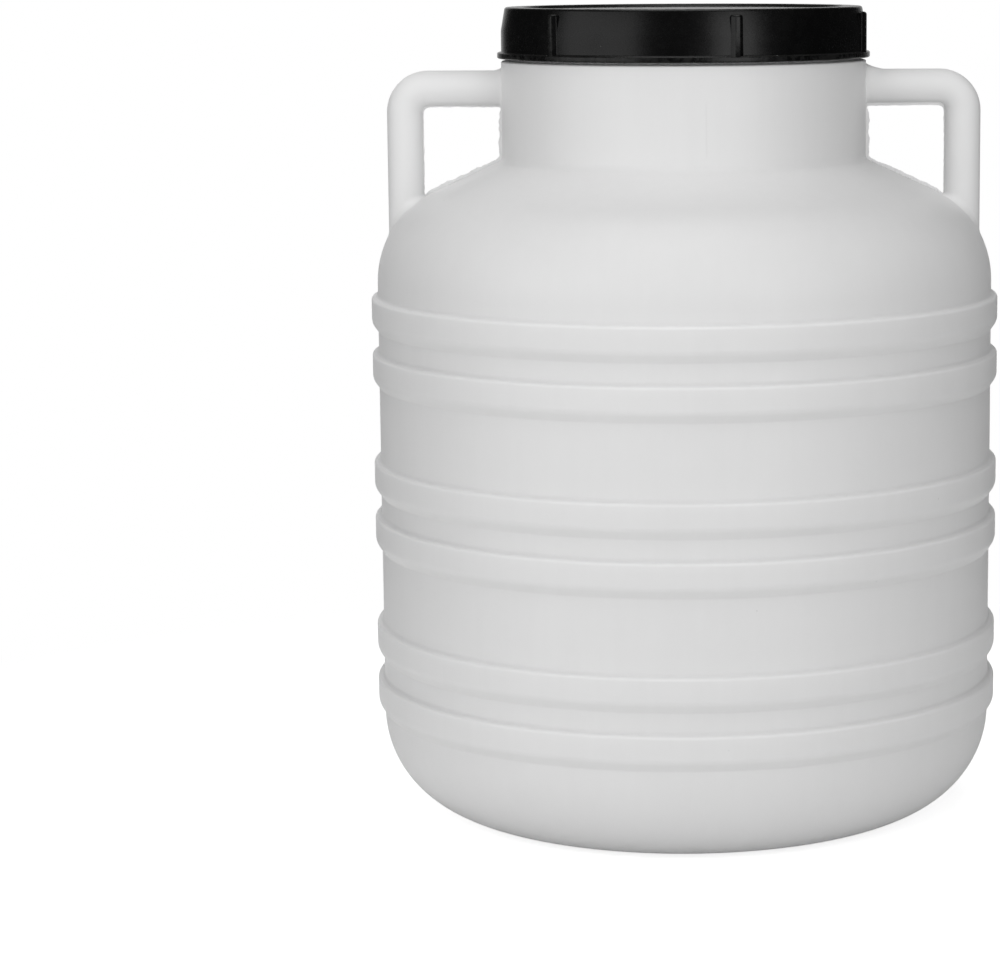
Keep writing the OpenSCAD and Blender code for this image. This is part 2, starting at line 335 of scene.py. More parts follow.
def turned_tree():
    """A profile of points turned about the Z axis, with a parting line in the XZ plane and a gentle sway."""
    nodes, given = shape_tree(
        "turned_part",
        (
            ("Columns", "Int"),
            ("Crowding", "Float"),
            ("Largest Radius", "Float"),
            ("Seam Width", "Float"),
            ("Sway Depth", "Float"),
        ),
    )
    math_, times = nodes.math, nodes.times
    profile = given["Shape"]
    rows = nodes("GeometryNodeAttributeDomainSize", profile)
    grid = nodes("GeometryNodeMeshGrid", 1.0, 1.0, nodes.whole("ADD", given["Columns"], 1), rows)
    index = nodes("GeometryNodeInputIndex")
    row = nodes.whole("MODULO", index, rows)
    column = nodes.whole("DIVIDE_FLOOR", index, rows)

    def read(field, kind):
        return nodes("GeometryNodeSampleIndex", profile, field, row, data_type=kind)

    def stored(name, kind):
        return read(nodes("GeometryNodeInputNamedAttribute", name, data_type=kind), kind)

    place = nodes.node("ShaderNodeSeparateXYZ", read(nodes("GeometryNodeInputPosition"), "FLOAT_VECTOR"))
    outward = nodes.node("ShaderNodeSeparateXYZ", stored("outward", "FLOAT_VECTOR"))
    radius, height = place.outputs["X"], place.outputs["Z"]

    # Columns crowd together at the parting plane, where the fine ridge needs them
    even = times(math_("DIVIDE", column, given["Columns"]), TURN)
    bunch = times(math_("SINE", times(even, 2.0)), given["Crowding"])
    turn = math_("SUBTRACT", even, times(bunch, 0.5))
    sine, cosine = math_("SINE", turn), math_("COSINE", turn)

    def swung(r, z):
        return nodes("ShaderNodeCombineXYZ", times(r, cosine), times(r, sine), z)

    plain = swung(radius, height)
    across = math_("DIVIDE", times(radius, sine), given["Seam Width"])
    ridge = nodes.bell(across)
    ragged = math_("MULTIPLY_ADD", nodes.noise(plain, 5 * MM), 1.1, 0.45)
    ridge = times(ridge, ragged, stored("seam", "FLOAT"))
    wander = math_("SUBTRACT", nodes.noise(plain, 75 * MM, 1.0), 0.75)
    wander = times(math_("MINIMUM", wander, 0.0), given["Sway Depth"], stored("sway", "FLOAT"))
    lift = math_("ADD", ridge, wander)
    reach = math_("MULTIPLY_ADD", lift, outward.outputs["X"], radius)
    reach = math_("MINIMUM", reach, given["Largest Radius"])
    level = math_("MULTIPLY_ADD", lift, outward.outputs["Z"], height)
    moved = nodes("GeometryNodeSetPosition", grid, None, swung(reach, level))
    closed = nodes("GeometryNodeMergeByDistance", moved, None, WELD)
    end_tree(nodes, closed, given)
    return nodes.tree


def thread_tree():
    """A screw thread: a trapezoid swept along a helix, fading out at both ends."""
    nodes, given = shape_tree(
        "screw_thread",
        (
            ("Radius", "Float"),
            ("Lead", "Float"),
            ("Turns", "Float"),
            ("Start Height", "Float"),
            ("Start Angle", "Float"),
            ("Root Width", "Float"),
            ("Crest Width", "Float"),
            ("Stand", "Float"),
            ("Sunk", "Float"),
            ("Facing", "Float"),
        ),
    )
    math_ = nodes.math
    rise = nodes.times(given["Lead"], given["Turns"])
    helix = nodes("GeometryNodeCurveSpiral", 72, given["Turns"], given["Radius"], given["Radius"], rise)
    place = nodes("ShaderNodeCombineXYZ", 0.0, 0.0, given["Start Height"])
    spin = nodes("FunctionNodeAxisAngleToRotation", (0.0, 0.0, 1.0), given["Start Angle"])
    helix = nodes("GeometryNodeTransform", helix, place, spin)
    helix = nodes("GeometryNodeSetCurveNormal", helix, mode="Z_UP")
    tall = math_("ADD", given["Stand"], given["Sunk"])
    section = nodes.node("GeometryNodeCurvePrimitiveQuadrilateral", mode="TRAPEZOID")
    nodes.put(tall, section.inputs["Height"])
    nodes.put(given["Root Width"], section.inputs["Bottom Width"])
    nodes.put(given["Crest Width"], section.inputs["Top Width"])
    section.inputs["Offset"].default_value = 0.0
    raised = math_("SUBTRACT", nodes.times(tall, 0.5), given["Sunk"])
    raised = nodes("ShaderNodeCombineXYZ", 0.0, raised, 0.0)
    section = nodes("GeometryNodeTransform", section.outputs[0], raised)
    facing = nodes("FunctionNodeAxisAngleToRotation", (0.0, 0.0, 1.0), given["Facing"])
    section = nodes("GeometryNodeTransform", section, None, facing)
    section = nodes("GeometryNodeFilletCurve", section, 3, 0.45 * MM, mode="POLY")
    along = nodes("GeometryNodeSplineParameter")
    ends = math_("MINIMUM", along, math_("SUBTRACT", 1.0, along))
    fade = nodes.ramp(ends, 0.0, 0.06, 0.2, 1.0)
    sweep = nodes.node("GeometryNodeCurveToMesh", helix, section)
    nodes.put(fade, sweep.inputs["Scale"])
    sweep.inputs["Fill Caps"].default_value = True
    closed = nodes("GeometryNodeMergeByDistance", sweep.outputs[0], None, WELD)
    end_tree(nodes, closed, given)
    return nodes.tree


def ring_tree():
    """Copies of one shape set evenly round the Z axis."""
    nodes, given = shape_tree("ring_of_ribs", (("Count", "Int"), ("First Angle", "Float")))
    points = nodes("GeometryNodePoints", given["Count"])
    step = nodes.math("DIVIDE", TURN, given["Count"])
    turn = nodes.math("MULTIPLY_ADD", nodes("GeometryNodeInputIndex"), step, given["First Angle"])
    spin = nodes("FunctionNodeAxisAngleToRotation", (0.0, 0.0, 1.0), turn)
    copies = nodes.node("GeometryNodeInstanceOnPoints", points)
    nodes.put(given["Shape"], copies.inputs["Instance"])
    nodes.put(spin, copies.inputs["Rotation"])
    end_tree(nodes, copies.outputs[0], given)
    return nodes.tree


# Meshes


def new_object(name, points, faces=()):
    """A mesh object at the origin, from points in metres."""
    mesh = bpy.data.meshes.new(name)
    mesh.from_pydata([tuple(p) for p in points], [], faces)
    obj = bpy.data.objects.new(name, mesh)
    bpy.context.scene.collection.objects.link(obj)
    return obj


def bake(obj):
    """Turns an object with modifiers into a plain mesh."""
    graph = bpy.context.evaluated_depsgraph_get()
    mesh = bpy.data.meshes.new_from_object(obj.evaluated_get(graph), depsgraph=graph)
    old = obj.data
    obj.modifiers.clear()
    obj.data = mesh
    mesh.name = obj.name
    bpy.data.meshes.remove(old)
    return obj


def grown(obj, tree, finish, **inputs):
    """Runs a geometry tree on an object, with its inputs by name, and bakes the result."""
    modifier = obj.modifiers.new(tree.name, "NODES")
    modifier.node_group = tree
    inputs["finish"] = finish
    for item in tree.interface.items_tree:
        key = item.name.lower().replace(" ", "_")
        if item.in_out == "INPUT" and key in inputs:
            modifier[item.identifier] = inputs.pop(key)
    if inputs:
        raise ValueError(f"{tree.name} has no inputs {sorted(inputs)}")
    return bake(obj)


def combined(base, others, operation):
    """base with the other closed meshes added or taken away; the others are used up."""
    for other in others:
        modifier = base.modifiers.new(other.name, "BOOLEAN")
        modifier.operation = operation
        modifier.solver = "MANIFOLD"
        modifier.object = other
    bake(base)
    for other in others:
        mesh = other.data
        bpy.data.objects.remove(other)
        bpy.data.meshes.remove(mesh)
    return base


def cleaned(obj):
    """Merges doubles, checks that the mesh is closed and faces outwards, and keeps its sharp edges."""
    tiny = 0.001 * MM
    mesh = bmesh.new()
    mesh.from_mesh(obj.data)
    bmesh.ops.remove_doubles(mesh, verts=mesh.verts, dist=tiny)
    bmesh.ops.dissolve_degenerate(mesh, edges=mesh.edges, dist=tiny)
    loose = [e for e in mesh.edges if len(e.link_faces) != 2]
    if loose:
        raise RuntimeError(f"{obj.name} isn't closed: {len(loose)} edges")
    if mesh.calc_volume(signed=True) <= 0:
        raise RuntimeError(f"{obj.name} is inside out")
    mesh.to_mesh(obj.data)
    mesh.free()
    obj.data.shade_smooth()
    obj.data.set_sharp_from_angle(angle=math.radians(CREASE))
    return obj


def unit(vector):
    """The direction of a vector."""
    return vector / np.linalg.norm(vector)


def points_from(*parts):
    """Rows of points from arrays of their coordinates."""
    return np.stack(parts, axis=1)


def rounded(path, coarse=12.0, fine=3.0):
    """The points of an open profile of (radius, height, rounding) corners, its corners turned into arcs."""
    spots = [np.array(p[:2], float) for p in path]
    points = [spots[0]]
    for i in range(1, len(path) - 1):
        size = path[i][2] if len(path[i]) > 2 else 0.0
        if size <= 0.0:
            points.append(spots[i])
            continue
        u, v = unit(spots[i - 1] - spots[i]), unit(spots[i + 1] - spots[i])
        half = math.acos(float(np.clip(u @ v, -1, 1))) / 2
        centre = spots[i] + unit(u + v) * size / math.sin(half)
        first = spots[i] + u * size / math.tan(half) - centre
        last = spots[i] + v * size / math.tan(half) - centre
        turn = (math.pi - 2 * half) * np.sign(first[0] * last[1] - first[1] * last[0])
        steps = math.ceil(abs(math.degrees(turn)) / (fine if size > 6 * MM else coarse))
        for k in range(steps + 1):
            t = turn * k / steps
            swing = np.array([[math.cos(t), -math.sin(t)], [math.sin(t), math.cos(t)]])
            points.append(centre + swing @ first)
    points.append(spots[-1])
    return np.array(points)


def spaced(points, longest):
    """The same profile with its long straight runs cut into shorter ones."""
    out = [points[0]]
    for a, b in zip(points[:-1], points[1:]):
        steps = max(1, math.ceil(np.linalg.norm(b - a) / longest))
        out.extend(a + (b - a) * k / steps for k in range(1, steps + 1))
    return np.array(out)


def turned(
    name, points, finish, columns, crowding=0.0, seam=None, sway=None, seam_w=1 * MM, depth=0.0, limit=10.0
):
    """A closed piece turned from a profile that runs from below, round the outside, to the top."""
    steps = np.diff(points, axis=0)
    steps = steps / np.linalg.norm(steps, axis=1)[:, None]
    tangent = np.vstack([steps[:1], steps[:-1] + steps[1:], steps[-1:]])
    tangent /= np.linalg.norm(tangent, axis=1)[:, None]
    outward = points_from(tangent[:, 1], np.zeros(len(points)), -tangent[:, 0])
    for end in (0, -1):
        outward[end] = (0.0, 0.0, np.sign(outward[end][2]))
    obj = new_object(name, [(r, 0.0, z) for r, z in points])
    nothing = np.zeros(len(points))
    for title, kind, key, values in (
        ("outward", "FLOAT_VECTOR", "vector", outward),
        ("seam", "FLOAT", "value", nothing if seam is None else seam),
        ("sway", "FLOAT", "value", nothing if sway is None else sway),
    ):
        field = obj.data.attributes.new(title, kind, "POINT")
        field.data.foreach_set(key, np.asarray(values, np.float32).ravel())
    return grown(
        obj,
        bpy.data.node_groups["turned_part"],
        finish,
        columns=columns,
        crowding=crowding,
        largest_radius=limit,
        seam_width=seam_w,
        sway_depth=depth,
    )


def ease(value, low, high):
    """0 below low, 1 above high and smooth between them."""
    t = np.clip((np.asarray(value, float) - low) / (high - low), 0.0, 1.0)
    return t * t * (3 - 2 * t)


# Barrel shell


def shell_levels(s):
    """Heights and radii that follow from the shell's sizes."""
    wall_r = s.band_r - s.band_proud
    first_band_z = s.foot_corner_r + s.first_band_gap
    pairs = [first_band_z + p * s.pair_pitch for p in range(s.pair_count)]
    bands = [z + b * s.band_pitch for z in pairs for b in (0, 1)]
    shoulder_start_z = bands[-1] + s.band_h + s.shoulder_gap
    shoulder_z = shoulder_start_z + s.shoulder_r * math.tan((math.pi / 2 - s.shoulder_slope) / 2)
    neck_z = shoulder_z + (wall_r - s.neck_r) * math.tan(s.shoulder_slope)
    ledge_z = neck_z + s.neck_h
    return {
        "wall_r": wall_r,
        "foot_ring_r": wall_r - s.foot_corner_r - s.foot_ring_w,
        "bands": bands,
        "shoulder_z": shoulder_z,
        "neck_z": neck_z,
        "ledge_z": ledge_z,
        "finish_r": s.neck_r - s.ledge_w,
        "finish_z": ledge_z + s.ledge_rise,
    }


def shell_corners(s, at, inset):
    """Corners of the shell's skin without the bands, below and above them, moved in by inset."""
    base_run, base_edge, ledge_edge = 2.6 * s.base_rise, 6 * MM, 1.0 * MM
    path = [
        (0.0, s.base_rise, 0.0),
        (at["foot_ring_r"] - base_run, s.base_rise, base_edge),
        (at["foot_ring_r"], 0.0, base_edge),
        (at["wall_r"], 0.0, s.foot_corner_r),
        (at["wall_r"], at["shoulder_z"], s.shoulder_r),
        (s.neck_r, at["neck_z"], s.neck_fillet),
        (s.neck_r, at["ledge_z"], ledge_edge),
        (at["finish_r"], at["finish_z"], 1.2 * MM),
        (at["finish_r"], s.rim_z, 0.8 * MM),
    ]
    if inset > 0:
        spots = [np.array(p[:2]) for p in path]
        moved = [(0.0, s.base_rise + inset, 0.0)]
        for i in range(1, len(path) - 1):
            a, b = unit(spots[i] - spots[i - 1]), unit(spots[i + 1] - spots[i])
            n, m = np.array([-a[1], a[0]]), np.array([-b[1], b[0]])
            spot = spots[i] + inset * (n + m) / (1 + n @ m)
            side = np.sign(a[0] * b[1] - a[1] * b[0])
            moved.append((*spot, max(path[i][2] - side * inset, 0.6 * MM)))
        path = moved
    return path[:4], path[4:]


def band_corners(s, at, r, under, over, low_edge, edge, root):
    """Corners of every hoop band, with its foot on a wall of radius r."""
    corners = []
    for z in at["bands"]:
        corners += [
            (r, z, root),
            (r + s.band_proud, z + under, low_edge),
            (r + s.band_proud, z + s.band_h - over, edge),
            (r, z + s.band_h, root),
        ]
    return corners


def shell_skin(s, at):
    """Points of the shell's outer profile, from the middle of the base to the axis at the rim."""
    below, above = shell_corners(s, at, 0.0)
    roundings = s.band_low_r, s.band_edge_r, s.band_root_r
    bands = band_corners(s, at, at["wall_r"], s.band_under, s.band_over, *roundings)
    return spaced(rounded(below + bands + above + [(0.0, s.rim_z, 0.0)]), 7 * MM)


def shell_cavity(s, at):
    """Points of the shell's inner profile, from the middle of the base to the axis above the rim."""
    below, above = shell_corners(s, at, s.wall)
    bands = band_corners(s, at, at["wall_r"] - s.wall, 6 * MM, 6 * MM, 2.5 * MM, 2.5 * MM, 2.5 * MM)
    bore_r, lip = at["finish_r"] - s.wall, 0.6 * MM
    mouth = [
        (bore_r, s.rim_z - lip, lip),
        (bore_r + 2 * lip, s.rim_z + lip, 0.0),
        (0.0, s.rim_z + lip, 0.0),
    ]
    return spaced(rounded(below + bands + above + mouth, 15.0, 6.0), 14 * MM)


def seam_heights(points, s, at):
    """Height of the parting line at each point of the skin: none on the bands, a pinched weld below."""
    r, z = points[:, 0], points[:, 1]
    plain = s.seam_h * ease(z, 6 * MM, 16 * MM)
    plain = plain * (1 - ease(z, at["ledge_z"] - 6 * MM, at["ledge_z"] - 2 * MM))
    on_band = ease(r, at["wall_r"] + 0.4 * MM, at["wall_r"] + 2 * MM)
    base = 1 - ease(r, at["foot_ring_r"] - 30 * MM, at["foot_ring_r"] - 22 * MM)
    base = base * (z < 20 * MM) * ease(r, 0.0, 12 * MM)
    return plain * (1 - on_band) + 0.8 * MM * base


def sway_shares(points, s, at):
    """How much each point of the skin may wander: full on plain walls, none on the foot and the finish."""
    r, z = points[:, 0], points[:, 1]
    free = ease(z, 3 * MM, 30 * MM) * (1 - ease(z, at["ledge_z"] - 8 * MM, at["ledge_z"]))
    on_band = ease(r, at["wall_r"] + 0.4 * MM, at["wall_r"] + 2 * MM)
    return free * (1 - 0.6 * on_band)


def handle_lines(h, at):
    """Height of the arm, distance of the leg, and the centre of the bend between them."""
    arm_z = at["ledge_z"] - h.drop - h.radius
    leg_x = at["wall_r"] - h.inset - h.radius
    return arm_z, leg_x, leg_x - h.bend_r, arm_z - h.bend_r


def skin_parts(s, at, skin):
    """The skin's points on the neck, from below, and on the shoulder, from the axis outwards."""
    upper = skin[skin[:, 1] > at["neck_z"] + s.neck_fillet]
    upper = upper[: int(np.argmax(upper[:, 1])) + 1]
    lower = skin[skin[:, 1] < at["neck_z"] + s.neck_fillet]
    lower = lower[lower[:, 1] > at["shoulder_z"] - s.shoulder_r]
    return upper, lower[np.argsort(lower[:, 0])]


def handle_rings(s, h, at, skin, radius, columns, root=None, trim=0.0):
    """Rings of points along a handle at the +X side, from the neck to the shoulder.

    root is the (rise, run) of its upper root, or None for a plain core that runs into both.
    trim is how much its arm is flattened below.
    """
    even = np.linspace(0, TURN, columns, endpoint=False)
    phi = even - 0.425 * np.sin(2 * even)
    up, side = np.cos(phi), np.sin(phi)
    arm_z, leg_x, bend_x, bend_z = handle_lines(h, at)
    upper, lower = skin_parts(s, at, skin)
    ridge = h.seam_h if root else 0.0
    tube = radius + ridge * np.exp(-((radius * side / s.seam_w) ** 2))
    flat = np.where(up < 0, trim * up * up, 0.0)
    arm = tube - flat
    sunk, tuck = 0.3 * MM, 1.3 * MM

    def on_neck(y, z):
        return np.sqrt(np.maximum(np.interp(z, upper[:, 1], upper[:, 0]) ** 2 - y * y, 0.0))

    def on_shoulder(x, y):
        return np.interp(np.hypot(x, y), lower[:, 0], lower[:, 1])

    def spread(high, low, flank):
        return np.where(up > 0, high, low) * up * up + flank * side * side

    rings = []
    if root:
        rise = spread(root[0], h.eye_blend, h.side_blend)
        run = spread(root[1], h.eye_blend, h.side_blend)
        straight = np.where(up > 0, h.root_ramp * up * up, 0.0)
        climb = np.linspace(1, 0, 10)
        for k, u in enumerate(np.concatenate([climb[:1], climb])):
            sine, cosine = math.sin(u * math.pi / 2), math.cos(u * math.pi / 2)
            wide = arm + rise * ((1 - cosine) * (1 - straight) + u * straight)
            y, z = wide * side, arm_z + wide * up
            out = run * ((1 - sine) * (1 - straight) + (1 - u) * straight)
            out = out - sunk * sine - (tuck if k == 0 else 0.0)
            rings.append(points_from(on_neck(y, z) + out, y, z))
    else:
        start = np.full(columns, s.neck_r - s.wall - 2 * MM)
        rings.append(points_from(start, arm * side, arm_z + arm * up))
    first = rings[-1]
    flat_x = s.neck_r + max(h.right_run, h.left_run) + 2 * MM
    for t in np.linspace(0, 1, 4)[1:]:
        x = first[:, 0] * (1 - t) + flat_x * t
        rings.append(points_from(x, arm * side, arm_z + arm * up))
    for x in np.linspace(flat_x, bend_x, 6)[1:]:
        rings.append(points_from(np.full(columns, x), arm * side, arm_z + arm * up))
    for t in np.radians(np.linspace(0, 90, 16))[1:]:
        wide = tube - flat * math.cos(t) ** 2
        reach = h.bend_r + wide * up
        x, z = bend_x + reach * math.sin(t), bend_z + reach * math.cos(t)
        rings.append(points_from(x, wide * side, z))
    leg_xs, leg_ys = leg_x + tube * up, tube * side
    if root:
        size = spread(h.outer_blend, h.eye_blend, h.front_blend)
        last = on_shoulder(leg_xs, leg_ys) + size
    else:
        last = np.full(columns, at["shoulder_z"] - 0.6 * s.shoulder_r)
    for t in np.linspace(0, 1, 9)[1:]:
        rings.append(points_from(leg_xs, leg_ys, bend_z * (1 - t) + last * t))
    if root:
        climb = np.radians(np.linspace(0, 90, 10))[1:]
        for k, t in enumerate(np.concatenate([climb, climb[-1:]])):
            wide = tube + size * (1 - math.cos(t))
            x, y = leg_x + wide * up, wide * side
            out = size * (1 - math.sin(t)) - sunk * math.sin(t) - (tuck if k == len(climb) else 0.0)
            rings.append(points_from(x, y, on_shoulder(x, y) + out))
    return rings


def tube_between(name, rings, loop=False):
    """A closed tube through rings of points: capped at both ends, or joined end to end as a loop."""
    columns = len(rings[0])
    points = np.vstack([*rings, rings[0].mean(axis=0), rings[-1].mean(axis=0)])
    faces = []
    for i in range(len(rings) if loop else len(rings) - 1):
        here, there = i * columns, (i + 1) % len(rings) * columns
        for j in range(columns):
            k = (j + 1) % columns
            faces.append((here + j, here + k, there + k, there + j))
    if loop:
        points = points[:-2]
    else:
        end = (len(rings) - 1) * columns
        for j in range(columns):
            k = (j + 1) % columns
            faces.append((len(points) - 2, k, j))
            faces.append((len(points) - 1, end + j, end + k))
    obj = new_object(name, points, faces)
    mesh = bmesh.new()
    mesh.from_mesh(obj.data)
    bmesh.ops.recalc_face_normals(mesh, faces=mesh.faces)
    mesh.to_mesh(obj.data)
    mesh.free()
    return obj


def flash_rings(s, h, at, skin, seed):
    """Rings of points along the thin ragged flash that trimming leaves round the eye at the +X side."""
    arm_z, leg_x, bend_x, bend_z = handle_lines(h, at)
    upper, lower = skin_parts(s, at, skin)
    leg_in, arm_low, inner_r = leg_x - h.radius, arm_z - h.radius, h.bend_r - h.radius
    floor = lower[(lower[:, 0] > s.neck_r) & (lower[:, 0] < leg_in)][::-1]
    wall = upper[upper[:, 1] < arm_low]
    bend = np.radians(np.linspace(0, 90, 7))
    bend = points_from(bend_x + inner_r * np.sin(bend), bend_z + inner_r * np.cos(bend))
    foot = (leg_in, np.interp(leg_in, lower[:, 0], lower[:, 1]))
    corner = (np.interp(arm_low, upper[:, 1], upper[:, 0]), arm_low)
    outline = np.vstack([[foot], floor, wall, [corner], bend, [foot]])
    along = np.concatenate([[0.0], np.cumsum(np.linalg.norm(np.diff(outline, axis=0), axis=1))])
    steps = int(along[-1] / (0.8 * MM))
    at_step = np.linspace(0, along[-1], steps, endpoint=False)
    path = points_from(*(np.interp(at_step, along, outline[:, i]) for i in (0, 1)))
    for _ in range(4):
        path = (np.roll(path, 1, axis=0) + 2 * path + np.roll(path, -1, axis=0)) / 4
    tangent = np.roll(path, -1, axis=0) - np.roll(path, 1, axis=0)
    tangent /= np.linalg.norm(tangent, axis=1)[:, None]
    inward = points_from(tangent[:, 1], -tangent[:, 0])
    random = np.random.default_rng(seed)
    ragged = random.random(steps)
    ragged = (np.roll(ragged, 1) + ragged + np.roll(ragged, -1)) / 3
    slow = np.interp(np.arange(steps), np.linspace(0, steps, 13), np.append(random.random(12), 0.5))
    off_leg = ease(leg_in - path[:, 0], 1 * MM, 5 * MM)
    off_arm = ease(arm_low - path[:, 1], 1 * MM, 5 * MM)
    high = h.flash_h * (0.35 + 0.65 * off_leg * off_arm) * (0.35 + 0.8 * ragged + 0.5 * slow)
    root, crest = path - 1.2 * MM * inward, path + high[:, None] * inward
    lean = 0.35 * MM * (slow - 0.5)
    half = h.flash_t / 2
    sections = zip(
        (root, crest, crest, root),
        (np.full(steps, -half), lean - 0.7 * half, lean + 0.7 * half, np.full(steps, half)),
    )
    corners = [points_from(spot[:, 0], y, spot[:, 1]) for spot, y in sections]
    return list(np.stack(corners, axis=1))


def both_sides(name, right, left, loop=False):
    """The tubes at the +X side and the -X side, from rings that are both laid out at the +X side."""
    turned_round = [ring * np.array([-1.0, -1.0, 1.0]) for ring in left]
    return [tube_between(f"{name}_right", right, loop), tube_between(f"{name}_left", turned_round, loop)]


def screw_thread(name, t, finish, radius, turns, height, first, stand, facing):
    """A thread on a cylinder of the given radius, starting at a height and an angle."""
    return grown(
        new_object(name, [(0.0, 0.0, 0.0)]),
        bpy.data.node_groups["screw_thread"],
        finish,
        radius=radius,
        lead=t.lead,
        turns=turns,
        start_height=height,
        start_angle=first,
        root_width=t.root_w,
        crest_width=t.crest_w,
        stand=stand,
        sunk=0.6 * MM,
        facing=facing,
    )


class BARREL_OT_shell(bpy.types.Operator):
    """Builds the blow-moulded shell: wall, hoop bands, shoulder, threaded neck and hollow handles"""

    bl_idname = "barrel.make_shell"
    bl_label = "Shell"

    def execute(self, context):
        scene = context.scene
        s, h, t = scene.barrel_shell, scene.barrel_handles, scene.barrel_thread
        at = shell_levels(s)
        finish = barrel_plastic(scene.barrel_finishes)
        skin = shell_skin(s, at)
        shell = turned(
            "barrel_shell",
            skin,
            finish,
            columns=200,
            crowding=0.9,
            seam=seam_heights(skin, s, at),
            sway=sway_shares(skin, s, at),
            seam_w=s.seam_w,
            depth=s.sway,
            limit=s.band_r,
        )
        right = handle_rings(s, h, at, skin, h.radius, 64, (h.right_rise, h.right_run), h.right_trim)
        left = handle_rings(s, h, at, skin, h.radius, 64, (h.left_rise, h.left_run), h.left_trim)
        handles = both_sides("handle", right, left)
        ragged = [flash_rings(s, h, at, skin, seed) for seed in (3, 8)]
        flash = both_sides("flash", *ragged, loop=True)
        start = at["finish_z"] + t.neck_start
        thread = screw_thread(
            "neck_thread", t, finish, at["finish_r"], t.neck_turns, start, 0.0, t.neck_h, 0.0
        )
        combined(shell, [*handles, *flash, thread], "UNION")
        cavity = turned("cavity", shell_cavity(s, at), finish, columns=120)
        core = handle_rings(s, h, at, skin, h.radius - h.wall, 32)
        combined(shell, [cavity, *both_sides("core", core, core)], "DIFFERENCE")
        cleaned(shell)
        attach(shell, "barrel")
        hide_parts("barrel_body")
        return {"FINISHED"}


# Lid


def lid_profile(l, gasket):
    """Corners of the lid's profile, from the middle below, round the skirt, to the middle of its top."""
    small = 0.8 * MM
    skirt_r = l.flange_r - l.flange_proud
    inner_r = skirt_r - l.wall
    under_z = gasket.high_z
    taper_z = l.top_z - l.taper_h
    lean = l.taper / l.taper_h
    panel_r = skirt_r - l.taper - l.panel_rim_w
    sunk = l.panel_depth
    flange_z = l.low_z + l.flange_h
    return [
        (0.0, under_z - sunk, 0.0),
        (l.plug_r - l.plug_t, under_z - sunk, small),
        (l.plug_r - l.plug_t, under_z - l.plug_depth, small),
        (l.plug_r, under_z - l.plug_depth, small),
        (l.plug_r, under_z, 0.3 * MM),
        (inner_r - lean * (under_z - taper_z), under_z, 0.3 * MM),
        (inner_r, taper_z, 6 * MM),
        (inner_r, l.low_z, small),
        (l.flange_r, l.low_z, small),
        (l.flange_r, flange_z, small),
        (skirt_r, flange_z, small),
        (skirt_r, taper_z, 6 * MM),
        (skirt_r - l.taper, l.top_z, l.edge_r),
        (panel_r, l.top_z, small),
        (panel_r - sunk, l.top_z - sunk, small),
        (l.gate_r + 0.6 * MM, l.top_z - sunk, 0.4 * MM),
        (l.gate_r, l.top_z - sunk - 0.5 * MM, 0.4 * MM),
        (1.4 * MM, l.top_z - sunk - 0.5 * MM, 0.3 * MM),
        (1.0 * MM, l.top_z - sunk - 0.1 * MM, 0.3 * MM),
        (0.0, l.top_z - sunk - 0.1 * MM, 0.0),
    ]


def rib_shape(l):
    """One grip rib at the +X side: an upright bar with leaning flanks, its back inside the skirt."""
    skirt_r = l.flange_r - l.flange_proud
    back = 0.75 * l.wall
    low, high = l.low_z + l.flange_h / 2, l.top_z - l.rib_top_gap
    half, face = l.rib_root_w / 2, l.rib_face_w / 2
    soft = 0.7 * MM
    flank = [(-back, half), (0.0, half, soft), (l.rib_proud, face, soft)]
    section = rounded([(x, -y, *more) for x, y, *more in flank] + flank[::-1], 15.0)
    levels = [(low, 0.0, 1.05), (high - l.rib_edge, 0.0, 0.95)]
    for t in np.radians((18, 36, 54, 72, 90)):
        sunk = 1 - math.cos(t)
        levels.append((high - l.rib_edge * (1 - math.sin(t)), sunk, 0.95 - 0.3 * sunk))
    rings = []
    for z, sunk, width in levels:
        x = skirt_r + np.where(section[:, 0] > 0, section[:, 0] * (1 - 0.75 * sunk), section[:, 0])
        rings.append(points_from(x, section[:, 1] * width, np.full(len(x), z)))
    return tube_between("grip_ribs", rings)


class BARREL_OT_lid(bpy.types.Operator):
    """Builds the screw lid: skirt, flange, grip ribs, sunk top and inner thread"""

    bl_idname = "barrel.make_lid"
    bl_label = "Lid"

    def execute(self, context):
        scene = context.scene
        l, s, t = scene.barrel_lid, scene.barrel_shell, scene.barrel_thread
        at = shell_levels(s)
        finish = lid_plastic(scene.barrel_finishes, l)
        profile = spaced(rounded(lid_profile(l, scene.barrel_gasket)), 10 * MM)
        lid = turned("ribbed_screw_lid", profile, finish, columns=180)
        ring = bpy.data.node_groups["ring_of_ribs"]
        ribs = grown(rib_shape(l), ring, finish, count=l.rib_count, first_angle=l.rib_phase)
        bore = l.flange_r - l.flange_proud - l.wall
        start = at["finish_z"] + t.neck_start + t.lead * t.lid_first - t.lid_below
        first = t.lid_first * TURN
        thread = screw_thread("lid_thread", t, finish, bore, t.lid_turns, start, first, t.lid_h, math.pi)
        combined(lid, [ribs, thread], "UNION")
        cleaned(lid)
        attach(lid, "lid")
        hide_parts("screw_lid")
        return {"FINISHED"}


# Gasket


